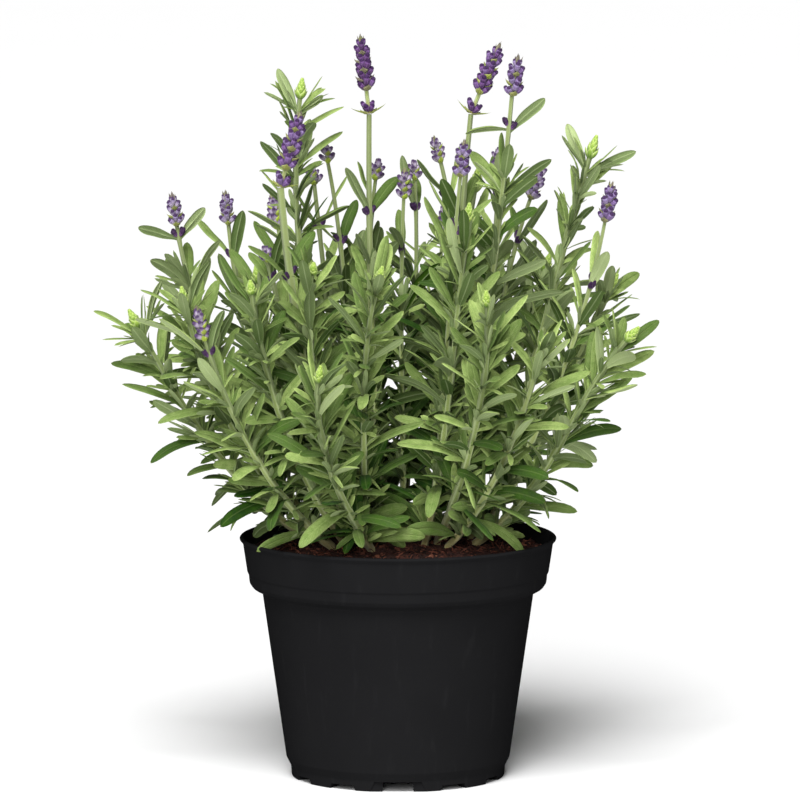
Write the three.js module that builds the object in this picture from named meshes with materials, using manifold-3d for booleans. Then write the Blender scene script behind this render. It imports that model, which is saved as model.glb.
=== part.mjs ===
// A lavender plant in a black nursery pot. Millimetres, +Z up, resting on z = 0.
// The pot, the soil, each leafy stem with its green bud, and each purple flower head are separate solids.
// X runs to the right, Y to the back. The plant is built round the pot's axis and centred at the end.
import * as THREE from 'three';
import { mergeVertices } from 'three/addons/utils/BufferGeometryUtils.js';
import Module from 'manifold-3d';

const wasm = await Module();
wasm.setup();
const { Vector2, Vector3 } = THREE;
const degrees = Math.PI / 180;

// Driving dimensions

const pot = {
  sides: 32,
  lipRadius: 70, // a 14 cm pot
  lipTop: 106.4,
  floorTop: 6.1,
  floorUnder: 4.9,
  footInner: 40.5,
  drainRadius: 3,
  drainCircle: 33,
};
// The outside of the pot from its lip down to its foot ring, as [radius, height].
const potOutside = [
  [69.3, pot.lipTop],
  [pot.lipRadius, 105.5],
  [68.4, 103.6],
  [66.5, 90.8],
  [65.9, 90],
  [65.5, 86.1],
  [64.2, 84.2],
  [59.9, 82.1],
  [49.4, 8.4],
  [47.4, 4.6],
  [47, 0],
];
const potInside = [
  [68.1, pot.lipTop],
  [64.3, 85.4],
  [58.7, 82.4],
  [48.2, pot.floorTop],
  [0, pot.floorTop],
];
// The notches that part the foot ring. A wide one has a tab on each side, set back behind the ring's face.
const tabFace = 45.2;
const ringInside = 34;
const notches = [
  { angle: 0, half: 11.5, depth: 4.5, slope: 1.2, from: tabFace },
  { angle: 0, half: 6.7, depth: 4.5, slope: 0.3, from: ringInside },
  { angle: 31.25, half: 6.3, depth: 2.3, slope: 0.6, from: ringInside },
  { angle: 62, half: 5.7, depth: 2.3, slope: 0.6, from: ringInside },
  { angle: 118, half: 5.7, depth: 2.3, slope: 0.6, from: ringInside },
  { angle: 148.75, half: 6.3, depth: 2.3, slope: 0.6, from: ringInside },
  { angle: 180, half: 11.5, depth: 4.5, slope: 1.2, from: tabFace },
  { angle: 180, half: 6.7, depth: 4.5, slope: 0.3, from: ringInside },
  { angle: 211.25, half: 6.3, depth: 2.3, slope: 0.6, from: ringInside },
  { angle: 242, half: 5.7, depth: 2.3, slope: 0.6, from: ringInside },
  { angle: 298, half: 5.7, depth: 2.3, slope: 0.6, from: ringInside },
  { angle: 328.75, half: 6.3, depth: 2.3, slope: 0.6, from: ringInside },
];
const soil = { sides: 20, gap: 0.3, edge: 66.4, edgeTop: 100, moundTop: 105.5, relief: 0.5 };

const stem = {
  footHalf: 1.45, // half the width of its square section
  tipHalf: 0.95,
  rings: 6,
  buried: 14,
  straight: 0.6, // it rises straight for this much above the soil
  holeGap: 0.3,
  footNear: 7, // a foot's distance from the pot's axis is this
  footShare: 0.27, // and this share of its tip's distance
};
const blade = {
  root: 1, // it starts this far behind the middle of the stem
  places: [0, 0.26, 0.78, 1], // along the leaf
  sizes: [0, 0.8, 0.95, 0], // its width and its midrib's depth there, as shares
  keel: 1,
};
const pairSpacing = 25.4;
const room = { leaf: 1, stem: 1.5, head: 0.3, soil: 1.6 }; // what each keeps clear round itself
const headGap = 0.3;
const bud = { radius: 2.2, whorls: 3, sides: 6, sunk: 1.2 };
const lowestWhorl = 4.4; // height of the whorl that stands apart under a head

// Leaves that stand out against the sky, the highest pair first.
const farRight = [
  { turn: 170, rise: 12, curl: 50, length: 21, roll: 40 },
  { turn: 8, rise: 52, curl: 8, length: 23, roll: -60 },
];
const farLeft = [
  { turn: 175, rise: 27, curl: 4, length: 20, roll: 45 },
  { turn: 5, rise: 43, curl: 6, length: 19, roll: -55 },
];
const highBud = [
  { turn: 178, rise: 64, curl: 4, length: 24, roll: 70 },
  { turn: 2, rise: 47, curl: 6, length: 15, roll: -55 },
  { turn: 20, rise: 76, curl: 2, length: 29, roll: -75 },
  { turn: 200, rise: 56, curl: 14, length: 26, roll: 50 },
];
const rightBud = [
  { turn: 185, rise: 54, curl: 4, length: 24, roll: 70 },
  { turn: 355, rise: 47, curl: 10, length: 27, roll: -60 },
];

// The shoots, as [name, where the stem ends, where its head ends, bare length below the head, head].
// A head has whorls of buds, and may have one more whorl that stands a gap below them. Its stem rises into
// it along the head's own axis or in the direction `lean`.
// The leaves given with it are the highest ones of its stem. The others follow a rule.
const shootRows = [
  ['tall_left', [-51, -35, 264], [-42, -34, 297.2], 40,
    { whorls: 6, radius: 4.9, gap: 4, lean: [-0.08, 0.03, 1] }],
  ['tall_middle', [-12.7, 15, 291.5], [-16.7, 15, 326.7], 44,
    { whorls: 6, radius: 4.5, gap: 6.6, lean: [0.01, 0, 1] }],
  ['tall_right', [32, 10, 292], [44.7, 11, 323.1], 44,
    { whorls: 6, radius: 4.5, gap: 5.6, lean: [0.1, 0.03, 1] }],
  ['tall_far_right', [49.8, -5, 301.4], [52.6, -5, 319.3], 16,
    { whorls: 4, radius: 4.2, lean: [0.09, 0, 1], leaves: farRight }],
  ['right_outer', [91, 10, 244.4], [94.3, 10, 262.3], 30, { whorls: 4, radius: 3.9 }],
  ['right_back', [59, 60, 249.5], [65, 62, 265.9], 22, { whorls: 4, radius: 3.4 }],
  ['left_outer', [-97.6, 20, 241.6], [-99.8, 20, 256.5], 8, { whorls: 3, radius: 3.7, leaves: farLeft }],
  ['left_back', [-75.5, 50, 239], [-77, 51, 254.4], 18, { whorls: 4, radius: 3.3 }],
  ['middle_small', [-10, 40, 260], [-8.7, 40, 269.6], 14, { whorls: 2, radius: 3.4 }],
  ['front_tall', [27.2, -20, 267.3], [28.9, -21, 283.6], 24, { whorls: 4, radius: 3.8 }],
  ['left_slim', [-31, 30, 268.6], [-31.8, 30, 277.7], 36, { whorls: 2, radius: 3.2, lean: [-0.2, 0, 1] }],
  ['left_twin', [-37.5, 70, 255], [-38.5, 71, 264], 22, { whorls: 2, radius: 3.2 }],
  ['back_slim', [19, 50, 266.8], [15.8, 51, 278.9], 18, { whorls: 3, radius: 2.9 }],
  ['back_middle', [7.6, 80, 256], [7.2, 81, 264.9], 16, { whorls: 2, radius: 3 }],
  ['pale_middle', [2.5, 10, 254.8], [3.1, 9, 268.5], 24, { whorls: 3, radius: 3.2 }],
  ['back_right', [44.8, 84, 261], [44.8, 86, 270.3], 16, { whorls: 2, radius: 2.8 }],
  ['left_low', [-57, -20, 230.2], [-58.6, -21, 236.4], 10, { whorls: 2, radius: 2.6 }],
  ['front_left', [-83, -60, 200.4], [-87.1, -62, 215.5], 10, { whorls: 4, radius: 3.2 }],
  ['rear_left', [-54, 88, 233], [-57, 92, 249], 22, { whorls: 4, radius: 3.5 }],
  ['rear_right', [20, 104, 228], [21, 109, 243], 20, { whorls: 4, radius: 3.5 }],
  ['bud_top', [-43, 12, 299.6], [-41.9, 12, 308.2], 9, { bud: true, leaves: highBud }],
  ['bud_right', [85, 32, 271.5], [88.1, 33, 281.1], 8, { bud: true, leaves: rightBud }],
  ['bud_pale', [34, 30, 256.9], [36, 30, 268], 16, { bud: true }],
  ['bud_front', [30, -50, 250.4], [31, -51, 259.6], 16, { bud: true }],
  ['front_middle', [-8.4, -84, 228.4], [-6.4, -86, 235.8], 8, { bud: true, foot: [-16, -8] }],
  ['front_right', [38.1, -84, 218.5], [37.6, -86, 225.5], 14, { bud: true, foot: [17, -15] }],
  ['front_short', [-33.9, -88, 186.3], [-32.9, -90, 193.6], 8, { bud: true }],
  ['bud_left', [-63, -63, 221.3], [-63.7, -64, 227.4], 8, { bud: true }],
  ['bud_inner', [-37, -52, 228.5], [-36.2, -53, 233.8], 8, { bud: true }],
  ['bud_outer', [-92.6, -38, 213.9], [-94.1, -39, 221.9], 8, { bud: true }],
  ['left_arching', [-114, -14, 201.4], [-118, -15, 209], 10, { bud: true }],
  ['right_arching', [99.7, -32, 197.2], [105.3, -33, 203.3], 10, { bud: true }],
  ['right_low', [94, 44, 210], [98, 46, 218], 8, { bud: true }],
  ['front_far', [63, -66, 198], [65, -68, 205], 8, { bud: true }],
  ['rear_bud_left', [-94, 66, 204], [-97, 69, 212], 8, { bud: true }],
  ['rear_bud', [-22, 102, 214], [-22, 106, 222], 8, { bud: true }],
  ['rear_bud_right', [66, 92, 214], [69, 95, 222], 8, { bud: true }],
  ['rear_low', [-62, 30, 216], [-63, 31, 224], 8, { bud: true }],
];

// Repeats

// Even random numbers from 0 to 1, the same at each run.
function randomFrom(seed) {
  let state = seed;
  const next = () => {
    state = (state * 16807) % 2147483647;
    return state / 2147483647;
  };
  for (let i = 0; i < 3; i++) next();
  return next;
}

// Moves each point of an upright unit cylinder or cone to place(angle, t, onAxis), where t is 0 at its foot
// and 1 at its top.
function reshape(geometry, place) {
  const points = geometry.getAttribute('position');
  for (let i = 0; i < points.count; i++) {
    const x = points.getX(i);
    const z = points.getZ(i);
    const moved = place(Math.atan2(x, z), points.getY(i) + 0.5, Math.hypot(x, z) < 1e-6);
    points.setXYZ(i, moved.x, moved.y, moved.z);
  }
  return geometry;
}

function solidOf(geometry) {
  const bare = geometry.clone();
  bare.deleteAttribute('normal');
  bare.deleteAttribute('uv');
  const merged = mergeVertices(bare, 1e-4);
  return new wasm.Manifold(new wasm.Mesh({
    numProp: 3,
    vertProperties: merged.getAttribute('position').array,
    triVerts: new Uint32Array(merged.index.array),
  }));
}

function geometryOf(solid) {
  const { vertProperties, triVerts } = solid.getMesh();
  const geometry = new THREE.BufferGeometry();
  geometry.setAttribute('position', new THREE.BufferAttribute(vertProperties, 3));
  geometry.setIndex(new THREE.BufferAttribute(triVerts, 1));
  const faceted = geometry.toNonIndexed();
  faceted.computeVertexNormals();
  return faceted;
}

function lathe(profile, sides) {
  const points = profile.map(([r, z]) => new Vector2(r, z));
  return new THREE.LatheGeometry(points, sides).rotateX(Math.PI / 2);
}

// Pot

function makePot() {
  const under = [[0, pot.floorUnder], [pot.footInner, pot.floorUnder], [pot.footInner, 0]];
  const outline = [...under, ...potOutside.toReversed(), ...potInside];
  let body = solidOf(lathe(outline, pot.sides));
  for (const place of notches) body = body.subtract(notch(place));
  for (const angle of [45, 135, 225, 315]) body = body.subtract(drain(angle));
  return body;
}

// A bar with sloping sides, laid outwards through the foot ring.
function notch({ angle, half, depth, slope, from }) {
  const face = new THREE.Shape([
    new Vector2(-half - slope, -1),
    new Vector2(half + slope, -1),
    new Vector2(half - slope, depth),
    new Vector2(-half + slope, depth),
  ]);
  const bar = new THREE.ExtrudeGeometry(face, { depth: 20, bevelEnabled: false });
  bar.rotateX(Math.PI / 2).translate(0, -from, 0);
  return solidOf(bar.rotateZ(angle * degrees));
}

function drain(angle) {
  const drill = new THREE.CylinderGeometry(pot.drainRadius, pot.drainRadius, 8, 6);
  drill.rotateX(Math.PI / 2).translate(0, -pot.drainCircle, pot.floorTop);
  return solidOf(drill.rotateZ(angle * degrees));
}

// Soil

function soilHeight(x, y) {
  const away = Math.hypot(x, y) / soil.edge;
  const waves = Math.sin(0.21 * x + 0.9) * Math.cos(0.17 * y) + 0.6 * Math.sin(0.13 * (x - y));
  return soil.moundTop - (soil.moundTop - soil.edgeTop) * away ** 2 + soil.relief * waves;
}

function makeSoil(shoots) {
  const under = potInside.slice(1).toReversed().map(([r, z]) => [Math.max(0, r - soil.gap), z + soil.gap]);
  const above = 200; // marks the points of the top, which then take the soil's height
  const top = [1, 0.8, 0.55, 0.28, 0].map((share) => [soil.edge * share, above]);
  const bed = lathe([...under, ...top], soil.sides);
  const points = bed.getAttribute('position');
  for (let i = 0; i < points.count; i++) {
    if (points.getZ(i) === above) points.setZ(i, soilHeight(points.getX(i), points.getY(i)));
  }
  return shoots.reduce((body, shoot) => body.subtract(stemHole(shoot)), solidOf(bed));
}

function stemHole({ foot, turn }) {
  const wide = 2 * (stem.footHalf + stem.holeGap);
  const deep = stem.buried + stem.holeGap;
  const hole = new THREE.BoxGeometry(wide, wide, 2 * deep).rotateZ(turn * degrees);
  return solidOf(hole.translate(foot.x, foot.y, foot.z));
}

// Stems

// A shoot with its own random numbers, the place where it leaves the soil, and the line of its stem,
// which leans outwards first and then rises into the head.
function makeShoot([name, tipAt, topAt, bare, head], index) {
  const random = randomFrom(7919 * (index + 1));
  const turn = 360 * random(); // of its square section, whose faces the leaves grow from
  const [tip, top] = [new Vector3(...tipAt), new Vector3(...topAt)];
  const share = stem.footNear / Math.hypot(tip.x, tip.y) + stem.footShare;
  const [x, y] = head.foot ?? [tip.x * share, tip.y * share];
  const foot = new Vector3(x, y, soilHeight(x, y) + stem.straight);
  const rise = tip.z - foot.z;
  const lean = head.lean ? new Vector3(...head.lean) : top.clone().sub(tip);
  const low = foot.clone().lerp(tip, 0.5).setZ(foot.z + 0.25 * rise);
  const high = tip.clone().addScaledVector(lean.normalize(), -0.35 * rise);
  const curve = new THREE.CubicBezierCurve3(foot, low, high, tip);
  return { name, tip, top, bare, head, random, turn, foot, curve };
}

// Directions at t along a curve: along it, out from it at an angle round it, and across both.
function directionsAt(curve, t, angle) {
  const along = curve.getTangent(t);
  const right = new Vector3(0, 1, 0).cross(along).normalize();
  const back = along.clone().cross(right);
  const out = right.multiplyScalar(Math.cos(angle)).addScaledVector(back, Math.sin(angle));
  return { along, out, across: along.clone().cross(out) };
}

function makeStem(shoot, leaves) {
  const { tip, top, foot, turn, curve, head } = shoot;
  const headAxis = new THREE.LineCurve3(tip, top);
  const tube = new THREE.CylinderGeometry(1, 1, 1, 4, stem.rings);
  const place = (angle, t, onAxis) => {
    const ring = Math.round(t * stem.rings);
    const s = Math.max(0, (ring - 1) / (stem.rings - 1));
    const half = onAxis ? 0 : Math.SQRT2 * THREE.MathUtils.lerp(stem.footHalf, stem.tipHalf, s);
    const corner = angle + (45 + turn) * degrees;
    const line = s < 1 ? curve : headAxis; // its end is square to the head
    if (ring > 1) return curve.getPoint(s).addScaledVector(directionsAt(line, s, corner).out, half);
    const drop = ring === 0 ? stem.buried : 0;
    return foot.clone().add(new Vector3(half * Math.cos(corner), half * Math.sin(corner), -drop));
  };
  const parts = leaves.map((leaf) => makeBlade(curve, leaf));
  if (head.bud) parts.push(makeBud(shoot));
  return parts.reduce((all, part) => all.add(part), solidOf(reshape(tube, place)));
}

// Leaves

// The leaves of a stem in crossed pairs, each with its place on the stem and its shape. Some are bent later.
function leavesOf({ random, turn, curve, bare, head }) {
  const spread = (size) => size * (random() - 0.5);
  const length = curve.getLength();
  const leafy = length - bare;
  const pairs = Math.round((leafy - 6) / pairSpacing) + 1;
  const leaves = [];
  for (let pair = 0; pair < pairs; pair++) {
    const height = 1 - pair / (pairs - 1); // 1 at the highest pair and 0 at the lowest
    for (const side of [0, 180]) {
      leaves.push({
        s: (6 + (leafy - 6) * height + spread(4)) / length,
        turn: turn + 90 * pair + side + spread(40),
        rise: 30 + 32 * height + spread(24),
        curl: 62 - 46 * height + spread(36),
        length: (34.5 - 8 * height ** 3) * (0.85 + 0.3 * random()),
        width: 6.5 - 0.9 * height ** 2 + spread(1.4),
        roll: spread(110),
        twist: spread(50),
      });
    }
  }
  (head.leaves ?? []).forEach((shape, i) => Object.assign(leaves[i], shape));
  return leaves;
}

// The point at t along a leaf's midrib, and the directions there: along it, up from its face, and across it.
function leafAt(curve, leaf, t) {
  const { along, out, across } = directionsAt(curve, leaf.s, leaf.turn * degrees);
  const bend = Math.max(1, Math.abs(leaf.curl)) * degrees * Math.sign(leaf.curl || 1);
  const start = leaf.rise * degrees;
  const now = start - bend * t;
  const reach = (leaf.length * (Math.sin(start) - Math.sin(now))) / bend;
  const climb = (leaf.length * (Math.cos(now) - Math.cos(start))) / bend;
  const point = curve.getPoint(leaf.s).addScaledVector(out, reach).addScaledVector(along, climb);
  const up = along.multiplyScalar(Math.cos(now)).addScaledVector(out, -Math.sin(now));
  const twist = (leaf.roll + leaf.twist * t) * degrees;
  const wide = across.clone().multiplyScalar(Math.cos(twist)).addScaledVector(up, Math.sin(twist));
  up.multiplyScalar(Math.cos(twist)).addScaledVector(across, -Math.sin(twist));
  return { point, up, across: wide };
}

function makeBlade(curve, leaf) {
  const cone = new THREE.ConeGeometry(1, 1, 3, 3);
  return solidOf(reshape(cone, (angle, t, onAxis) => {
    const ring = Math.round(3 * t);
    const place = ring === 0 ? -blade.root / leaf.length : blade.places[ring];
    const { point, up, across } = leafAt(curve, leaf, place);
    if (onAxis) return point;
    const edge = Math.round(angle / (120 * degrees)); // 0 is the midrib, 1 and -1 are the edges
    if (edge === 0) return point.addScaledVector(up, -blade.keel * blade.sizes[ring]);
    return point.addScaledVector(across, 0.5 * edge * leaf.width * blade.sizes[ring]);
  }));
}

// Points that are taken already, sorted into cubes so that only near ones are compared.
function makeCrowd() {
  const size = 7;
  const cubes = new Map();
  const keyOf = (x, y, z) => [x, y, z].map((v) => Math.floor(v / size)).join();
  const take = (point, reach, owner) => {
    const key = keyOf(point.x, point.y, point.z);
    cubes.set(key, [...(cubes.get(key) ?? []), { point, reach, owner }]);
  };
  const isTaken = (point, reach, owner) => {
    for (let i = 0; i < 27; i++) {
      const [x, y, z] = [i % 3, Math.floor(i / 3) % 3, Math.floor(i / 9)].map((v) => size * (v - 1));
      const near = cubes.get(keyOf(point.x + x, point.y + y, point.z + z)) ?? [];
      const others = near.filter((other) => other.owner !== owner);
      if (others.some((other) => other.point.distanceTo(point) < other.reach + reach)) return true;
    }
    return false;
  };
  return { take, isTaken };
}

// Points over a leaf, 2 to 3 mm apart.
function pointsOf(curve, leaf) {
  const points = [];
  for (let along = 3; along < leaf.length + 2; along += 2) {
    const { point, across } = leafAt(curve, leaf, Math.min(1, along / leaf.length));
    for (const side of [-0.45, 0, 0.45]) {
      points.push(point.clone().addScaledVector(across, side * leaf.width));
    }
  }
  return points;
}

// Whether a point lies in the soil, the pot or the air just round them.
function isBuried({ x, y, z }) {
  const away = Math.hypot(x, y);
  if (away < soil.edge - 3) return z < soilHeight(x, y) + room.soil;
  return away < pot.lipRadius + 3 && z < pot.lipTop + room.soil;
}

// Ways to bend a leaf, as [more turn, more rise, share of its length], the mildest first.
const bends = [0.95, 0.75].flatMap((share) => [
  [0, 0, share],
  [20, 0, share],
  [-20, 0, share],
  [0, 16, share],
  [0, -16, share],
  [24, 14, share],
  [-24, 14, share],
  [24, -14, share],
  [-24, -14, share],
  [42, 6, share],
  [-42, 6, share],
]);

// All leaves of all stems. A leaf that would cross another stem or its leaves is bent clear, or left out
// where no bend is enough.
function growLeaves(shoots) {
  const crowd = makeCrowd();
  shoots.forEach(({ curve, tip, top, head }, owner) => {
    for (const point of curve.getSpacedPoints(80)) crowd.take(point, room.stem, owner);
    const reach = (head.radius ?? bud.radius) + room.head;
    for (let t = 0; t <= 1; t += 0.1) crowd.take(tip.clone().lerp(top, t), reach, owner);
  });
  return shoots.map((shoot, owner) => {
    const kept = [];
    for (const leaf of leavesOf(shoot)) {
      for (const [turn, rise, share] of bends) {
        const bent = { ...leaf, turn: leaf.turn + turn, rise: leaf.rise + rise, length: leaf.length * share };
        const points = pointsOf(shoot.curve, bent);
        if (points.some((point) => isBuried(point) || crowd.isTaken(point, room.leaf, owner))) continue;
        for (const point of points) crowd.take(point, room.leaf, owner);
        kept.push(bent);
        break;
      }
    }
    return kept;
  });
}

// Buds and flower heads

// A spindle whose surface rises into whorls of buds. Each ring is [height, radius at a bud, radius between
// two buds, turn], with its height as a share of the whole.
function makeSpindle(rings, sides, start, end) {
  const axis = new THREE.LineCurve3(start, end);
  const tube = new THREE.CylinderGeometry(1, 1, 1, sides, rings.length - 1);
  return solidOf(reshape(tube, (angle, t, onAxis) => {
    const [height, high, low, turn] = rings[Math.round(t * (rings.length - 1))];
    const isBud = (Math.round((angle / (2 * Math.PI)) * sides) + turn) % 2 === 0;
    const radius = onAxis ? 0 : isBud ? high : low;
    return axis.getPoint(height).addScaledVector(directionsAt(axis, 0, angle).out, radius);
  }));
}

// The rings of whorls that fill the heights above `from`. Buds stand over the gaps of the whorl below.
function whorlRings(whorls, radius, from, foot = 0.5 * radius) {
  const rings = [[from, foot, foot, 0]];
  for (let k = 0; k < whorls; k++) {
    const wide = radius * (1 - 0.42 * (k / whorls) ** 2);
    rings.push([from + ((k + 0.6) * (1 - from)) / whorls, wide, 0.55 * wide, k % 2]);
  }
  rings.push([1, 0.24 * radius, 0.16 * radius, whorls % 2]);
  return rings;
}

function makeHead({ tip, top, head }) {
  const { whorls, radius, gap } = head;
  const length = tip.distanceTo(top);
  const start = tip.clone().lerp(top, headGap / length);
  if (!gap) return makeSpindle(whorlRings(whorls, radius, 0), whorls > 3 ? 10 : 8, start, top);
  const rings = [
    [0, stem.tipHalf, stem.tipHalf, 0],
    [(0.6 * lowestWhorl) / length, 0.9 * radius, 0.4 * radius, 1],
    [lowestWhorl / length, stem.tipHalf, stem.tipHalf, 1],
    [(lowestWhorl + gap) / length, stem.tipHalf, stem.tipHalf, 1],
    ...whorlRings(whorls, radius, (lowestWhorl + gap + 0.4) / length),
  ];
  return makeSpindle(rings, 10, start, top);
}

// A green bud, whose pointed foot is sunk into the end of its stem.
function makeBud({ tip, top }) {
  const start = tip.clone().lerp(top, -bud.sunk / tip.distanceTo(top));
  return makeSpindle(whorlRings(bud.whorls, bud.radius, 0, 0), bud.sides, start, top);
}

// The whole plant

const colours = { pot: 0x1b1b1c, soil: 0x2b1810, leaf: 0x7d9a58, full: 0x5b4391, young: 0x8f86a8 };
const plant = new THREE.Group();

function addNode(name, solid, color, roughness) {
  const mesh = new THREE.Mesh(geometryOf(solid), new THREE.MeshStandardMaterial({ color, roughness }));
  mesh.name = name;
  plant.add(mesh);
}

const shoots = shootRows.map(makeShoot);
const leaves = growLeaves(shoots);
addNode('pot', makePot(), colours.pot, 0.5);
addNode('soil', makeSoil(shoots), colours.soil, 0.95);
shoots.forEach((shoot, index) => {
  addNode(`stem_${shoot.name}`, makeStem(shoot, leaves[index]), colours.leaf, 0.8);
  if (shoot.head.bud) return;
  const colour = shoot.head.whorls > 3 ? colours.full : colours.young;
  addNode(`head_${shoot.name}`, makeHead(shoot), colour, 0.85);
});

const box = new THREE.Box3().setFromObject(plant);
const centre = box.getCenter(new Vector3());
plant.position.set(-centre.x, -centre.y, 0);

export default plant;
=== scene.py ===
import math

import bmesh
import bpy
from mathutils import Matrix, Vector, kdtree, noise


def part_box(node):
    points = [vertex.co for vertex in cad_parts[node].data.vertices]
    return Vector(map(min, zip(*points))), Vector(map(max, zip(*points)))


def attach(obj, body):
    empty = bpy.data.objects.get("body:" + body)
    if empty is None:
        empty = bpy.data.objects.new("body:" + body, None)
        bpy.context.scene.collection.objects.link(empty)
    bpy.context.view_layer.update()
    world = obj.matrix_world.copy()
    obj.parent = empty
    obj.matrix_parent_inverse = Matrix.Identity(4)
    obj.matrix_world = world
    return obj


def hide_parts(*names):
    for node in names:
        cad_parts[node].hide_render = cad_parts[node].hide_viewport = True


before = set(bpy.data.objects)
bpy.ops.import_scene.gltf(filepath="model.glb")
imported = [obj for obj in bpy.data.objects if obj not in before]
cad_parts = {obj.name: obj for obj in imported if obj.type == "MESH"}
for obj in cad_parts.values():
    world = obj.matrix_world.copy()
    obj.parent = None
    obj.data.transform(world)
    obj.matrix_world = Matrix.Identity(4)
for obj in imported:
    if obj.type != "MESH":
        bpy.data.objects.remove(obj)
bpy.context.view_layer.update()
potLow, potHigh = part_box("pot")
potAxis = (potLow + potHigh) / 2
fullTurn = 2 * math.pi
millimetre = 0.001
toPlace = Matrix.Translation((potAxis.x, potAxis.y, 0)) @ Matrix.Scale(millimetre, 4)


# Camera and lights

cameraLook = {
    "lens": 337, "sensor": 36, "farEnd": 100,
    "aside": 0.00087, "back": 3.268, "height": 0.585, "dip": 7.294,
}
studioLook = {
    "world": 0.1,
    "aim": Vector((0, 0, 0.16)),
    "sun": {"strength": 4.6, "spread": 34, "from": (-0.25, -1.6, 2.5)},
    "key": {"energy": 62, "size": 1.2, "from": (-0.5, -3.0, 1.1)},
    "fill": {"energy": 5, "size": 1.8, "from": (1.6, -2.3, 0.9)},
}


def addCamera(look):
    lens = bpy.data.cameras.new("camera")
    lens.lens = look["lens"]
    lens.sensor_width = look["sensor"]
    lens.clip_end = look["farEnd"]
    camera = bpy.data.objects.new("camera", lens)
    camera.location = (potAxis.x + look["aside"], potAxis.y - look["back"], look["height"])
    camera.rotation_euler = (math.radians(90 - look["dip"]), 0, 0)
    bpy.context.collection.objects.link(camera)
    bpy.context.scene.camera = camera


def addLamp(name, kind, look):
    lamp = bpy.data.lights.new(name, kind)
    if kind == "SUN":
        lamp.energy = look["strength"]
        lamp.angle = math.radians(look["spread"])
    else:
        lamp.energy = look["energy"]
        lamp.size = look["size"]
    holder = bpy.data.objects.new(name, lamp)
    holder.location = look["from"]
    holder.rotation_euler = (studioLook["aim"] - holder.location).to_track_quat("-Z", "Y").to_euler()
    bpy.context.collection.objects.link(holder)


addCamera(cameraLook)
for name, kind in (("sun", "SUN"), ("key", "AREA"), ("fill", "AREA")):
    addLamp(name, kind, studioLook[name])
bpy.context.scene.view_settings.view_transform = "Standard"
world = bpy.data.worlds.new("studio")
world.use_nodes = True
sky = world.node_tree.nodes["Background"]
sky.inputs["Color"].default_value = (1, 1, 1, 1)
sky.inputs["Strength"].default_value = studioLook["world"]
bpy.context.scene.world = world
print("camera and lights are set")


# Shader maths

def paint(red, green, blue):  # a colour as a screen shows it, from 0 to 255
    def linear(value):
        value /= 255
        return value / 12.92 if value <= 0.04045 else ((value + 0.055) / 1.055) ** 2.4
    return (linear(red), linear(green), linear(blue), 1)


class Wire:  # the output of a shader node, which Python's operators work on
    def __init__(self, board, socket):
        self.board = board
        self.socket = socket

    def __add__(self, other):
        return self.board.math("ADD", self, other)

    def __radd__(self, other):
        return self.board.math("ADD", other, self)

    def __sub__(self, other):
        return self.board.math("SUBTRACT", self, other)

    def __rsub__(self, other):
        return self.board.math("SUBTRACT", other, self)

    def __mul__(self, other):
        return self.board.math("MULTIPLY", self, other)

    def __rmul__(self, other):
        return self.board.math("MULTIPLY", other, self)

    def __pow__(self, other):
        return self.board.math("POWER", self, other)


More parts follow.
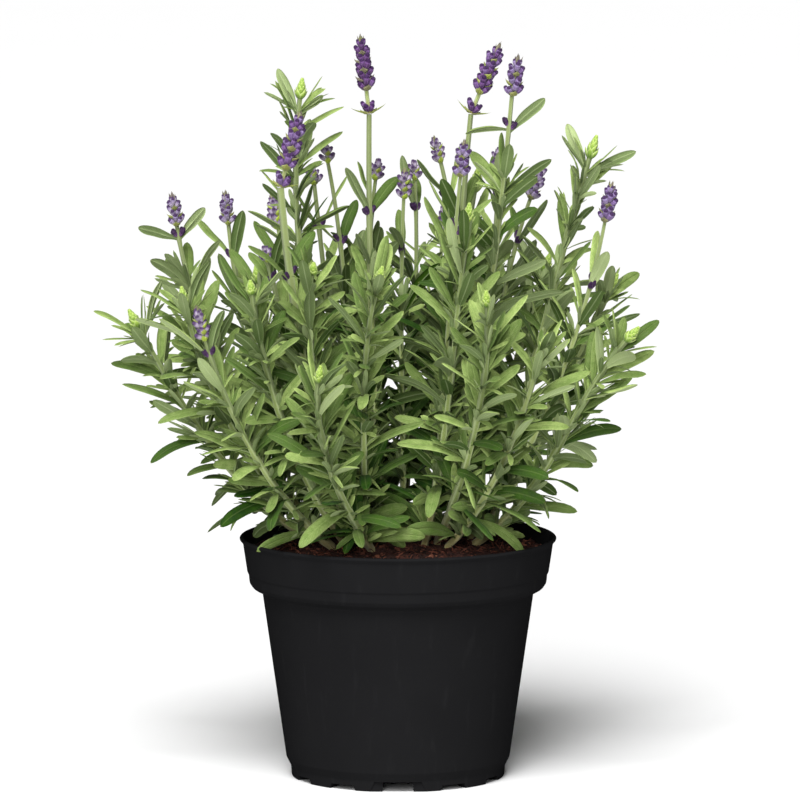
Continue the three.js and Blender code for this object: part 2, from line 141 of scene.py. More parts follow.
class Board:  # the node tree of one material
    def __init__(self, name):
        self.material = bpy.data.materials.new(name)
        self.material.use_nodes = True
        self.tree = self.material.node_tree
        self.tree.nodes.clear()

    def node(self, kind, settings, sockets, result=0):
        made = self.tree.nodes.new(kind)
        for key, value in settings.items():
            if key == "stops":
                self.setStops(made.color_ramp.elements, value)
            else:
                setattr(made, key, value)
        for key, value in sockets.items():
            if isinstance(value, Wire):
                self.tree.links.new(value.socket, made.inputs[key])
            else:
                made.inputs[key].default_value = value
        return Wire(self, made.outputs[result]) if made.outputs else None

    def setStops(self, elements, stops):
        while len(elements) < len(stops):
            elements.new(1)
        for element, (position, colour) in zip(elements, stops):
            element.position = position
            element.color = colour

    def math(self, operation, *values):
        return self.node("ShaderNodeMath", {"operation": operation}, dict(enumerate(values)))

    def blend(self, factor, first, second):  # mixes two colours
        kinds = {"data_type": "RGBA"}
        return self.node("ShaderNodeMix", kinds, {0: factor, 6: first, 7: second}, 2)

    def coats(self, colour, layers):  # lays colours over one another, each as (where, how strongly, colour)
        for mask, strength, tint in layers:
            colour = self.blend(mask * strength, colour, tint)
        return colour

    def step(self, value, low, high):  # 0 below low, 1 above high and smooth between
        settings = {"interpolation_type": "SMOOTHSTEP"}
        return self.node("ShaderNodeMapRange", settings, {"Value": value, "From Min": low, "From Max": high})

    def ramp(self, value, stops):
        return self.node("ShaderNodeValToRGB", {"stops": stops}, {0: value}, "Color")

    def place(self, stretch=(1, 1, 1)):
        place = self.node("ShaderNodeTexCoord", {}, {}, "Object")
        return self.node("ShaderNodeMapping", {}, {"Vector": place, "Scale": stretch})

    def noise(self, scale, detail=2, stretch=(1, 1, 1)):
        sockets = {"Vector": self.place(stretch), "Scale": scale, "Detail": detail}
        return self.node("ShaderNodeTexNoise", {}, sockets, "Fac")

    def surface(self):  # how far round and how far along a swept shape, from 0 to 1
        flat = self.node("ShaderNodeUVMap", {"uv_map": "UVMap"}, {})
        split = self.node("ShaderNodeSeparateXYZ", {}, {0: flat}, "X")
        return split, Wire(self, split.socket.node.outputs["Y"])

    def tone(self):
        return self.node("ShaderNodeAttribute", {"attribute_name": "tone"}, {}, "Fac")

    def edge(self, u):  # 1 at both edges of a leaf and 0 at its midrib
        return self.math("ABSOLUTE", self.math("COSINE", u * fullTurn))

    def waves(self, value):  # swings from 0 to 1 and back with each whole step of the value
        return self.math("SINE", value * fullTurn) * 0.5 + 0.5

    # The height is in shares of depth, which is in metres.
    def finish(self, height, depth, colour, roughness, specular, sheen=0, sheenRoughness=0.5):
        normal = self.node("ShaderNodeBump", {}, {"Height": height, "Distance": depth, "Strength": 1})
        shader = self.node("ShaderNodeBsdfPrincipled", {}, {
            "Base Color": colour, "Roughness": roughness, "Specular IOR Level": specular,
            "Sheen Weight": sheen, "Sheen Roughness": sheenRoughness, "Normal": normal,
        })
        self.node("ShaderNodeOutputMaterial", {}, {"Surface": shader})
        return self.material


# Swept shapes

carrier = bpy.data.meshes.new("carrier")
mergeGap = 0.002  # points nearer to each other than this become one


def startShape():
    bm = bmesh.new()
    bm.loops.layers.uv.new("UVMap")
    bm.verts.layers.float.new("tone")
    return bm


def join(bm, part):  # adds a small shape to a large one
    part.to_mesh(carrier)
    part.free()
    bm.from_mesh(carrier)


# Sweeps a section along rows and closes it at both ends, where the size is 0. Each row is
# (share of the length, size, point, side, up), and section(u, v) gives a point of the outline for size 1.
def sweep(bm, sides, rows, section, tone, skin):
    part = startShape()
    flat = part.loops.layers.uv.active
    shade = part.verts.layers.float["tone"]
    last = len(rows) - 1
    bmesh.ops.create_grid(part, x_segments=sides, y_segments=last, size=0.5)
    for vert in part.verts:
        u = vert.co.x + 0.5
        v, size, point, side, up = rows[round((vert.co.y + 0.5) * last)]
        a, b = section(u, v)
        vert.co = point + (side * a + up * b) * size
        vert[shade] = tone
        for loop in vert.link_loops:
            loop[flat].uv = (u, v)
            loop.face.material_index = skin
    join(bm, part)


def roundSection(u, v):
    return math.cos(fullTurn * u), math.sin(fullTurn * u)


def finishPiece(name, bm, skins, nodes, crease=55):
    bmesh.ops.remove_doubles(bm, verts=bm.verts, dist=mergeGap)
    for face in bm.faces:
        face.smooth = True
    bm.transform(toPlace)
    mesh = bpy.data.meshes.new(name)
    bm.to_mesh(mesh)
    bm.free()
    mesh.set_sharp_from_angle(angle=math.radians(crease))
    for skin in skins:
        mesh.materials.append(skin)
    piece = bpy.data.objects.new(name, mesh)
    bpy.context.collection.objects.link(piece)
    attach(piece, "root")
    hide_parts(*nodes)
    return piece


# The growth rule of the shoots, in millimetres round the pot's axis

soilShape = {"edge": 66.4, "edgeTop": 100, "moundTop": 105.5, "relief": 0.5}
ripples = {"across": 0.21, "start": 0.9, "deep": 0.17, "slant": 0.13, "slantShare": 0.6}
stemShape = {
    "footHalf": 1.45, "tipHalf": 0.95, "straight": 0.6, "footNear": 7, "footShare": 0.27,
    "lowKnot": 0.25, "highKnot": 0.35, "parts": 200,
}
# The pairs of leaves. Their rise and curl are (at the lowest pair, more at the highest, spread).
leafRule = {
    "pairSpacing": 25.4, "clear": 6, "slip": 4, "turnSpread": 40,
    "rise": (30, 32, 24), "curl": (62, -46, 36), "roll": 110, "twist": 50,
    "length": 34.5, "shorter": 8, "lengthShare": (0.85, 0.3),
    "width": 6.5, "slimmer": 0.9, "widthSpread": 1.4,
}
growthSeed, detailSeed = 7919, 104729
multiplier, modulus = 16807, 2147483647  # of the random numbers, which the solids are grown with too

farRight = [
    {"turn": 170, "rise": 12, "curl": 50, "length": 21, "roll": 40},
    {"turn": 8, "rise": 52, "curl": 8, "length": 23, "roll": -60},
]
farLeft = [
    {"turn": 175, "rise": 27, "curl": 4, "length": 20, "roll": 45},
    {"turn": 5, "rise": 43, "curl": 6, "length": 19, "roll": -55},
]
highBud = [
    {"turn": 178, "rise": 64, "curl": 4, "length": 24, "roll": 70},
    {"turn": 2, "rise": 47, "curl": 6, "length": 15, "roll": -55},
    {"turn": 20, "rise": 76, "curl": 2, "length": 29, "roll": -75},
    {"turn": 200, "rise": 56, "curl": 14, "length": 26, "roll": 50},
]
rightBud = [
    {"turn": 185, "rise": 54, "curl": 4, "length": 24, "roll": 70},
    {"turn": 355, "rise": 47, "curl": 10, "length": 27, "roll": -60},
]

# The shoots, as (name, where the stem ends, where its head ends, bare length below the head, head).
# One without a radius ends in a green bud.
shootRows = [
    ("tall_left", (-51, -35, 264), (-42, -34, 297.2), 40,
     {"radius": 4.9, "gap": 4, "lean": (-0.08, 0.03, 1)}),
    ("tall_middle", (-12.7, 15, 291.5), (-16.7, 15, 326.7), 44,
     {"radius": 4.5, "gap": 6.6, "lean": (0.01, 0, 1)}),
    ("tall_right", (32, 10, 292), (44.7, 11, 323.1), 44,
     {"radius": 4.5, "gap": 5.6, "lean": (0.1, 0.03, 1)}),
    ("tall_far_right", (49.8, -5, 301.4), (52.6, -5, 319.3), 16,
     {"radius": 4.2, "lean": (0.09, 0, 1), "leaves": farRight}),
    ("right_outer", (91, 10, 244.4), (94.3, 10, 262.3), 30, {"radius": 3.9}),
    ("right_back", (59, 60, 249.5), (65, 62, 265.9), 22, {"radius": 3.4}),
    ("left_outer", (-97.6, 20, 241.6), (-99.8, 20, 256.5), 8,
     {"radius": 3.7, "leaves": farLeft}),
    ("left_back", (-75.5, 50, 239), (-77, 51, 254.4), 18, {"radius": 3.3}),
    ("middle_small", (-10, 40, 260), (-8.7, 40, 269.6), 14, {"radius": 3.4}),
    ("front_tall", (27.2, -20, 267.3), (28.9, -21, 283.6), 24, {"radius": 3.8}),
    ("left_slim", (-31, 30, 268.6), (-31.8, 30, 277.7), 36,
     {"radius": 3.2, "lean": (-0.2, 0, 1)}),
    ("left_twin", (-37.5, 70, 255), (-38.5, 71, 264), 22, {"radius": 3.2}),
    ("back_slim", (19, 50, 266.8), (15.8, 51, 278.9), 18, {"radius": 2.9}),
    ("back_middle", (7.6, 80, 256), (7.2, 81, 264.9), 16, {"radius": 3}),
    ("pale_middle", (2.5, 10, 254.8), (3.1, 9, 268.5), 24, {"radius": 3.2}),
    ("back_right", (44.8, 84, 261), (44.8, 86, 270.3), 16, {"radius": 2.8}),
    ("left_low", (-57, -20, 230.2), (-58.6, -21, 236.4), 10, {"radius": 2.6}),
    ("front_left", (-83, -60, 200.4), (-87.1, -62, 215.5), 10, {"radius": 3.2}),
    ("rear_left", (-54, 88, 233), (-57, 92, 249), 22, {"radius": 3.5}),
    ("rear_right", (20, 104, 228), (21, 109, 243), 20, {"radius": 3.5}),
    ("bud_top", (-43, 12, 299.6), (-41.9, 12, 308.2), 9, {"leaves": highBud}),
    ("bud_right", (85, 32, 271.5), (88.1, 33, 281.1), 8, {"leaves": rightBud}),
    ("bud_pale", (34, 30, 256.9), (36, 30, 268), 16, {}),
    ("bud_front", (30, -50, 250.4), (31, -51, 259.6), 16, {}),
    ("front_middle", (-8.4, -84, 228.4), (-6.4, -86, 235.8), 8, {"foot": (-16, -8)}),
    ("front_right", (38.1, -84, 218.5), (37.6, -86, 225.5), 14, {"foot": (17, -15)}),
    ("front_short", (-33.9, -88, 186.3), (-32.9, -90, 193.6), 8, {}),
    ("bud_left", (-63, -63, 221.3), (-63.7, -64, 227.4), 8, {}),
    ("bud_inner", (-37, -52, 228.5), (-36.2, -53, 233.8), 8, {}),
    ("bud_outer", (-92.6, -38, 213.9), (-94.1, -39, 221.9), 8, {}),
    ("left_arching", (-114, -14, 201.4), (-118, -15, 209), 10, {}),
    ("right_arching", (99.7, -32, 197.2), (105.3, -33, 203.3), 10, {}),
    ("right_low", (94, 44, 210), (98, 46, 218), 8, {}),
    ("front_far", (63, -66, 198), (65, -68, 205), 8, {}),
    ("rear_bud_left", (-94, 66, 204), (-97, 69, 212), 8, {}),
    ("rear_bud", (-22, 102, 214), (-22, 106, 222), 8, {}),
    ("rear_bud_right", (66, 92, 214), (69, 95, 222), 8, {}),
    ("rear_low", (-62, 30, 216), (-63, 31, 224), 8, {}),
]


def seededRandom(seed):
    state = seed

    def draw():
        nonlocal state
        state = state * multiplier % modulus
        return state / modulus
    for _ in range(3):
        draw()
    return draw


def spread(draw, size):  # a random number from -size / 2 to size / 2
    return size * (draw() - 0.5)


def around(draw, middle, size):
    return middle + spread(draw, size)


def within(draw, least, more):
    return least + more * draw()


def grade(height, low, more):  # low where the height is 0, and more than that where it is 1
    return low + more * height


def grown(draw, height, low, more, size):  # a grade with a spread
    return around(draw, grade(height, low, more), size)


def soilHeight(x, y):
    away = math.hypot(x, y) / soilShape["edge"]
    waves = math.sin(ripples["across"] * x + ripples["start"]) * math.cos(ripples["deep"] * y)
    waves += ripples["slantShare"] * math.sin(ripples["slant"] * (x - y))
    drop = (soilShape["moundTop"] - soilShape["edgeTop"]) * away ** 2
    return soilShape["moundTop"] - drop + soilShape["relief"] * waves


class Shoot:  # one stem's line, a cubic curve that leans outwards first and then rises into its head
    def __init__(self, row, index):
        self.name, tip, top, self.bare, self.head = row
        self.tip, self.top = Vector(tip), Vector(top)
        self.hasHead = "radius" in self.head
        self.random = seededRandom(growthSeed * (index + 1))
        self.extra = seededRandom(detailSeed * (index + 1))
        self.turn = 360 * self.random()
        share = stemShape["footNear"] / math.hypot(tip[0], tip[1]) + stemShape["footShare"]
        x, y = self.head.get("foot", (tip[0] * share, tip[1] * share))
        foot = Vector((x, y, soilHeight(x, y) + stemShape["straight"]))
        rise = tip[2] - foot.z
        lean = Vector(self.head.get("lean", self.top - self.tip)).normalized()
        low = foot.lerp(self.tip, 0.5)
        low.z = foot.z + stemShape["lowKnot"] * rise
        self.knots = [foot, low, self.tip - lean * stemShape["highKnot"] * rise, self.tip]
        parts = stemShape["parts"]
        points = [self.point(k / parts) for k in range(parts + 1)]
        self.length = sum((b - a).length for a, b in zip(points, points[1:]))

    def point(self, t):
        a, b, c, d = self.knots
        s = 1 - t
        return a * s ** 3 + b * 3 * t * s ** 2 + c * 3 * t ** 2 * s + d * t ** 3

    def heading(self, t):
        a, b, c, d = self.knots
        s = 1 - t
        return ((b - a) * s ** 2 + (c - b) * 2 * s * t + (d - c) * t ** 2).normalized()

    def seat(self, t, turn, out=0):
        return seatOn(self.point(t), self.heading(t), turn, out)

    def half(self, t):
        return stemShape["footHalf"] + (stemShape["tipHalf"] - stemShape["footHalf"]) * t


# A place on a line, and the directions there: along it, out from it at an angle round it, and across both.
def seatOn(point, along, turn, out=0):
    right = Vector((0, 1, 0)).cross(along).normalized()
    back = along.cross(right)
    angle = math.radians(turn)
    outward = right * math.cos(angle) + back * math.sin(angle)
    return point + outward * out, along, outward, along.cross(outward)


def pairPlace(shoot, height, draw):  # where on its stem a leaf of the pair at this height sits
    clear = leafRule["clear"]
    leafy = shoot.length - shoot.bare
    return (clear + (leafy - clear) * height + spread(draw, leafRule["slip"])) / shoot.length


def drawnShape(draw, height, rule, long, wide):  # the bend and the size of a leaf at this height
    return {
        "rise": grown(draw, height, *rule["rise"]),
        "curl": grown(draw, height, *rule["curl"]),
        "length": long * within(draw, *rule["lengthShare"]),
        "width": around(draw, wide, rule["widthSpread"]),
        "roll": spread(draw, rule["roll"]),
        "twist": spread(draw, rule["twist"]),
    }


def leavesOf(shoot):  # the leaves of a stem in crossed pairs, as the solids have them before any is bent
    draw, rule = shoot.random, leafRule
    leafy = shoot.length - shoot.bare
    pairs = math.floor((leafy - rule["clear"]) / rule["pairSpacing"] + 0.5) + 1
    leaves = []
    for pair in range(pairs):
        height = 1 - pair / (pairs - 1)
        long = rule["length"] - rule["shorter"] * height ** 3
        wide = rule["width"] - rule["slimmer"] * height ** 2
        for side in (0, 180):
            leaves.append({
                "height": height,
                "s": pairPlace(shoot, height, draw),
                "turn": shoot.turn + 90 * pair + side + spread(draw, rule["turnSpread"]),
                **drawnShape(draw, height, rule, long, wide),
            })
    for leaf, shape in zip(leaves, shoot.head.get("leaves", [])):
        leaf.update(shape)
    return leaves


def alongLeaf(seat, leaf, t):  # the point at t of a leaf's midrib, and the directions up and across there
    base, along, out, across = seat
    bend = math.radians(max(1, abs(leaf["curl"])))
    if leaf["curl"] < 0:
        bend = -bend
    start = math.radians(leaf["rise"])
    now = start - bend * t
    reach = leaf["length"] * (math.sin(start) - math.sin(now)) / bend
    climb = leaf["length"] * (math.cos(now) - math.cos(start)) / bend
    point = base + out * reach + along * climb
    up = along * math.cos(now) - out * math.sin(now)
    twist = math.radians(leaf.get("roll", 0) + leaf.get("twist", 0) * t)
    wide = across * math.cos(twist) + up * math.sin(twist)
    return point, up * math.cos(twist) - across * math.sin(twist), wide


# How the solids bend a leaf that would cross another, as (more turn, more rise, share of its length).
bends = [
    (turn, rise, share)
    for share in (0.95, 0.75)
    for turn, rise in [(0, 0), (20, 0), (-20, 0), (0, 16), (0, -16), (24, 14), (-24, 14), (24, -14),
                       (-24, -14), (42, 6), (-42, 6)]
]
tipNear = 0.05  # a bend is the solid's where a corner of the solid is this near to the leaf's tip


def bentLeaf(leaf, turn, rise, share):
    return {**leaf, "turn": leaf["turn"] + turn, "rise": leaf["rise"] + rise,
            "length": leaf["length"] * share}


def keptLeaves(shoot):  # each leaf in the bend that the stem's solid has, found by where its tip is
    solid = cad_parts["stem_" + shoot.name].data
    corners = kdtree.KDTree(len(solid.vertices))
    back = toPlace.inverted()
    for index, vert in enumerate(solid.vertices):
        corners.insert(back @ vert.co, index)
    corners.balance()
    kept = []
    for leaf in leavesOf(shoot):
        for turn, rise, share in bends:
            bent = bentLeaf(leaf, turn, rise, share)
            tip = alongLeaf(shoot.seat(bent["s"], bent["turn"]), bent, 1)[0]
            if corners.find(tip)[2] < tipNear:
                kept.append(bent)
                break
    return kept


shoots = [Shoot(row, index) for index, row in enumerate(shootRows)]
for shoot in shoots:
    shoot.leaves = keptLeaves(shoot)
print("leaves found in the solids:", sum(len(shoot.leaves) for shoot in shoots))


# Leaves

leafKinds = {
    "leaf": {"sides": 12, "steps": 11, "thick": 0.11, "fold": 0.34, "rolled": 0.5, "rib": 0.1, "wave": 0.9},
    "young": {"sides": 10, "steps": 8, "thick": 0.12, "fold": 0.34, "rolled": 0.45, "rib": 0.1, "wave": 0.6},
    "small": {"sides": 6, "steps": 5, "thick": 0.2, "fold": 0.3, "rolled": 0.2, "rib": 0, "wave": 0.2},
    "bract": {"sides": 8, "steps": 5, "thick": 0.14, "fold": 0, "rolled": -0.55, "rib": 0.05, "wave": 0},
}
bladeLook = {
    "slim": 0.92, "crowding": 1.5, "phases": 40, "foldShare": (0.5, 1.1), "waveRate": 2.4,
    "ribWidth": 0.25, "ribFrom": 1.5, "rolledPower": 4,
}
# How the half width changes along a strap-shaped leaf, a bract and the scale of a bud.
strapShape = {"foot": 0.36, "widest": 0.5, "taper": 0.68, "tip": 0.32, "slope": 2.3, "blunt": 0.6}
bractShape = {"foot": 0.45, "more": 0.55, "start": 0.18, "rate": 0.9, "slope": 2.4, "blunt": 1}
scaleShape = {"foot": 0.55, "more": 0.45, "start": 0.15, "rate": 0.8, "slope": 3.4, "blunt": 0.6}
leafPaint = {
    "upper": (paint(20, 54, 0), paint(152, 172, 98)),  # of a dark leaf and of a pale one
    "lower": (paint(46, 76, 4), paint(164, 180, 126)),
    "mottle": paint(58, 92, 8), "rib": paint(158, 176, 108), "lowerRib": paint(172, 186, 138),
    "vein": paint(26, 58, 0), "felt": paint(182, 198, 142), "edge": paint(174, 192, 124),
    "tip": paint(132, 124, 64),
}


def leafOutline(t):  # half the width of a strap-shaped, blunt leaf at t, as a share of its widest
    foot, widen = strapShape["foot"], min(1, t / strapShape["widest"])
    taper = max(0, (t - strapShape["taper"]) / strapShape["tip"])
    body = foot + (1 - foot) * widen * widen * (3 - 2 * widen)
    return body * max(0, 1 - taper ** strapShape["slope"]) ** strapShape["blunt"]


def broadOutline(foot, more, start, rate, slope, blunt):
    def outline(t):
        body = foot + more * math.sin(math.pi * min(1, start + rate * t))
        return body * max(0, 1 - t ** slope) ** blunt
    return outline


bractOutline, scaleOutline = broadOutline(**bractShape), broadOutline(**scaleShape)


def addLeaf(bm, seat, leaf, kindName, tone, skin, outline=leafOutline):
    kind, look = leafKinds[kindName], bladeLook
    half = leaf["width"] / 2
    phase = look["phases"] * tone
    fold = kind["fold"] * grade(phase % 1, *look["foldShare"])
    rows = []
    for step in range(kind["steps"] + 1):
        t = 1 - (1 - step / kind["steps"]) ** look["crowding"]
        point, up, wide = alongLeaf(seat, leaf, t)
        point += up * kind["wave"] * noise.noise(Vector((look["waveRate"] * t, phase, 0)))
        rows.append((t, half * outline(t), point, wide, up))
    rows.insert(0, (0, 0, *rows[0][2:]))

    def section(u, v):
        x, lift = math.cos(fullTurn * u), math.sin(fullTurn * u)
        rib = -kind["rib"] * (look["ribFrom"] - v) * math.exp(-(x / look["ribWidth"]) ** 2)
        rolled = kind["rolled"] * abs(x) ** look["rolledPower"]
        return x, kind["thick"] * lift + rib + fold * abs(x) - rolled
    sweep(bm, kind["sides"], rows, section, tone, skin)


def makeLeafSkin():
    board = Board("greyGreenLeaf")
    u, v = board.surface()
    edge = board.edge(u)
    under = board.step(u, 0.495, 0.505)
    rib = 1 - board.step(edge, 0.03, 0.17)
    mottle = board.noise(330, 3)
    felt = board.noise(2600, 3)
    veins = board.waves(v * 15 - edge * 3)
    # The tone darkens the low and inner leaves as painted shade, together with their own tone, and the felt
    # and pale edges fade with it.
    shade = board.tone() ** 1.35
    bloom = shade * 0.9 + 0.1
    upper = board.coats(board.blend(shade, *leafPaint["upper"]), (
        (board.step(mottle, 0.35, 0.68), 0.38, leafPaint["mottle"]),
        (rib, 0.1, leafPaint["rib"]),
    ))
    lower = board.coats(board.blend(shade, *leafPaint["lower"]), ((rib, 0.4, leafPaint["lowerRib"]),))
    colour = board.coats(board.blend(under, upper, lower), (
        (veins * (1 - rib), 0.14, leafPaint["vein"]),
        (board.step(felt, 0.5, 0.72) * bloom, 0.28, leafPaint["felt"]),
        (board.step(edge, 0.82, 1) * bloom, 0.34, leafPaint["edge"]),
        (board.step(v, 0.97, 1), 0.4, leafPaint["tip"]),
    ))
    height = felt * 0.35 + veins * 0.14 * (1 - rib) + rib * (under * 2 - 1) * 0.4
    return board.finish(height, 0.00035, colour, 0.55 + mottle * 0.3, specular=0.14, sheen=0.02)


# Stems

stemLook = {
    "sides": 16, "steps": 46, "square": 3.2, "rib": 0.1, "ribPower": 3, "swelling": 0.22, "swellingReach": 2,
    "flowering": 0.78, "buried": 12,
}
# How thick a flowering stem is at its head, as a share of its solid's.
stemShares = {"tall_left": 1.5, "tall_middle": 0.95, "tall_right": 0.95, "tall_far_right": 0.9}
# high is the colour of the painted shade on the upper part of each stem.
stemPaint = {
    "body": (paint(128, 144, 70), paint(166, 176, 106)), "grain": paint(98, 120, 58),
    "corner": paint(178, 190, 148), "woody": paint(142, 120, 76), "felt": paint(190, 200, 166),
    "high": paint(92, 106, 62),
}


def stemSection(turn):  # a square with round corners and a rib along each of them
    def section(u, v):
        angle = fullTurn * u
        c, s = math.cos(angle), math.sin(angle)
        square = (abs(c) ** stemLook["square"] + abs(s) ** stemLook["square"]) ** (-1 / stemLook["square"])
        radius = square * (1 + stemLook["rib"] * abs(2 * c * s) ** stemLook["ribPower"])
        a = angle + math.radians(turn)
        return radius * math.cos(a), radius * math.sin(a)
    return section


def addStem(bm, shoot, skin):
    joints = [leaf["s"] for leaf in shoot.leaves]
    share = stemShares.get(shoot.name, stemLook["flowering"] if shoot.hasHead else 1)
    rows = []
    for step in range(stemLook["steps"] + 1):
        t = step / stemLook["steps"]
        near = min(abs(t - joint) for joint in joints) * shoot.length
        swollen = 1 + stemLook["swelling"] * math.exp(-(near / stemLook["swellingReach"]) ** 2)
        size = shoot.half(t) * (1 + (share - 1) * t) * swollen
        point, _, right, back = shoot.seat(t, 0)
        rows.append((t, size, point, right, back))
    below = Vector((0, 0, -stemLook["buried"]))
    rows.insert(0, (0, rows[0][1], rows[0][2] + below, *rows[0][3:]))
    rows.insert(0, (0, 0, *rows[0][2:]))
    rows.append((1, 0, *rows[-1][2:]))
    sweep(bm, stemLook["sides"], rows, stemSection(shoot.turn), shoot.extra(), skin)


def makeStemSkin():
    board = Board("paleSquareStem")
    u, v = board.surface()
    corner = board.math("ABSOLUTE", board.math("SINE", u * 2 * fullTurn))
    grain = board.noise(700, 3, (1, 1, 0.12))
    felt = board.noise(2800, 2)
    colour = board.coats(board.blend(board.tone(), *stemPaint["body"]), (
        (grain, 0.45, stemPaint["grain"]),
        (board.step(corner, 0.5, 1), 0.45, stemPaint["corner"]),
        (board.step(v, 0.24, 0.02), 0.7, stemPaint["woody"]),
        (board.step(felt, 0.5, 0.75), 0.3, stemPaint["felt"]),
        # Painted shade: this layer darkens each stem towards its head, where it stands in more light.
        (board.step(v, 0.4, 0.85), 0.62, stemPaint["high"]),
    ))
    height, roughness = felt * 0.4 + grain * 0.6, 0.62 + grain * 0.2
    return board.finish(height, 0.0003, colour, roughness, specular=0.3, sheen=0.15, sheenRoughness=0.6)


# The young leaves between the pairs and in the axils

youngLook = {
    "levels": (0.25, 0.5, 0.75), "turn": 25, "levelTurn": 70, "turnSpread": 40,
    "tries": (0, 25, -25, 50, -50),  # turns, until the leaf is clear of the others
    "rise": (36, 24, 30), "curl": (44, -34, 44), "roll": 100, "twist": 50,
    "length": 24.5, "lengthShare": (0.78, 0.44), "width": 5.1, "widthSpread": 1.4,
    "room": 1, "roomShare": 0.25, "soilRoom": 1, "soilReach": 70,
}
tuftLook = {
    "count": 6, "youngCount": 2, "youngShare": 0.8,
    "rise": (50, 50), "curl": (14, 60), "roll": 120, "twist": 60, "tone": (0.7, 0.6),
    "length": 14.5, "lengthShare": (0.55, 0.85), "width": 2.4, "widthShare": (0.8, 0.5),
    "fan": 64, "fanSpread": 24, "above": 1.2, "out": 0.3,
}
# How pale a leaf is. Paler upwards is partly the younger leaves' own colour and partly painted shade. Paler
# outwards is painted shade on the inner leaves. The spread is each leaf's own random tone.
toneAndShadeRule = {"least": 0.06, "up": 0.3, "out": 0.32, "reach": 80, "spread": 0.8}
stemParts, leafParts = 60, 8  # into which stems and leaves are divided to compare their places
leafFree = 3  # the first of a leaf's parts that has to be clear of them


def crowdOf(owner):  # points of the other shoots' stems and leaves
    points = []
    for shoot in shoots:
        if shoot is owner:
            continue
        points += [shoot.point(k / stemParts) for k in range(stemParts + 1)]
        for leaf in shoot.leaves:
            seat = shoot.seat(leaf["s"], leaf["turn"])
            points += [alongLeaf(seat, leaf, k / leafParts)[0] for k in range(leafParts + 1)]
    crowd = kdtree.KDTree(len(points))
    for index, point in enumerate(points):
        crowd.insert(point, index)
    crowd.balance()
    return crowd


def isClear(seat, leaf, crowd):
    room = youngLook["room"] + youngLook["roomShare"] * leaf["width"]
    for k in range(leafFree, leafParts + 1):
        point = alongLeaf(seat, leaf, k / leafParts)[0]
        isLow = point.z < soilHeight(point.x, point.y) + youngLook["soilRoom"]
        if isLow and math.hypot(point.x, point.y) < youngLook["soilReach"]:
            return False
        if crowd.find(point)[2] < room:
            return False
    return True


def leafTone(shoot, seat, height):  # paler upwards and outwards: partly each leaf's own colour, partly painted shade on the low and inner leaves
    outward = min(1, math.hypot(seat[0].x, seat[0].y) / toneAndShadeRule["reach"])
    middle = grade(height, toneAndShadeRule["least"], toneAndShadeRule["up"]) + toneAndShadeRule["out"] * outward
    return around(shoot.extra, middle, toneAndShadeRule["spread"])


def addYoungPairs(bm, shoot, crowd, skin):  # the pairs between those that the solids have
    draw, look = shoot.extra, youngLook
    heights = sorted({leaf["height"] for leaf in shoot.leaves})
    made = []
    for index, (lower, upper) in enumerate(zip(heights, heights[1:])):
        bare = shoot.hasHead and index == len(heights) - 2
        for k, level in enumerate(look["levels"][:1] if bare else look["levels"]):
            height = lower + (upper - lower) * level
            for side in (0, 180):
                leaf = drawnShape(draw, height, look, look["length"], look["width"])
                leaf["s"] = pairPlace(shoot, height, draw)
                first = shoot.turn + look["turn"] + look["levelTurn"] * k + 90 * index + side
                first = around(draw, first, look["turnSpread"])
                for more in look["tries"]:
                    leaf["turn"] = first + more
                    seat = shoot.seat(leaf["s"], leaf["turn"])
                    if isClear(seat, leaf, crowd):
                        addLeaf(bm, seat, leaf, "young", leafTone(shoot, seat, height), skin)
                        made.append(leaf)
                        break
    return made


def addTuft(bm, shoot, leaf, count, share, skin):  # a few small leaves where a leaf joins the stem
    draw, look = shoot.extra, tuftLook
    for k in range(count):
        small = {
            "rise": around(draw, *look["rise"]),
            "curl": around(draw, *look["curl"]),
            "length": share * look["length"] * within(draw, *look["lengthShare"]),
            "width": share * look["width"] * within(draw, *look["widthShare"]),
            "roll": spread(draw, look["roll"]),
            "twist": spread(draw, look["twist"]),
        }
        turn = around(draw, leaf["turn"] + look["fan"] * (k / (count - 1) - 0.5), look["fanSpread"])
        seat = shoot.seat(leaf["s"] + look["above"] / shoot.length, turn, look["out"])
        addLeaf(bm, seat, small, "small", around(draw, *look["tone"]), skin)


# Green buds

# In pairs: a scale's value in the lowest row, and how much more it is in the highest.
budLook = {
    "rows": 6, "around": 5, "turnSpread": 12, "tone": (0.35, 0.5), "usualLength": 9,
    "up": (-0.1, 0.7), "out": (1.1, -0.5), "rise": (46, 22), "curl": (-34, -16),
    "reach": 4.4, "reachShare": (1, -0.22), "width": 2.9, "widthShare": (1, -0.35),
}
budCore = {
    "parts": 7, "sides": 10, "radius": 1.9, "round": (0.15, 0.85), "blunt": 0.6, "up": (-0.08, 0.98),
    "tone": 0.4,
}
budPaint = {
    "body": (paint(94, 128, 28), paint(142, 172, 62)), "foot": paint(70, 104, 24),
    "end": paint(184, 202, 104), "edge": paint(200, 212, 144), "felt": paint(206, 216, 164),
}


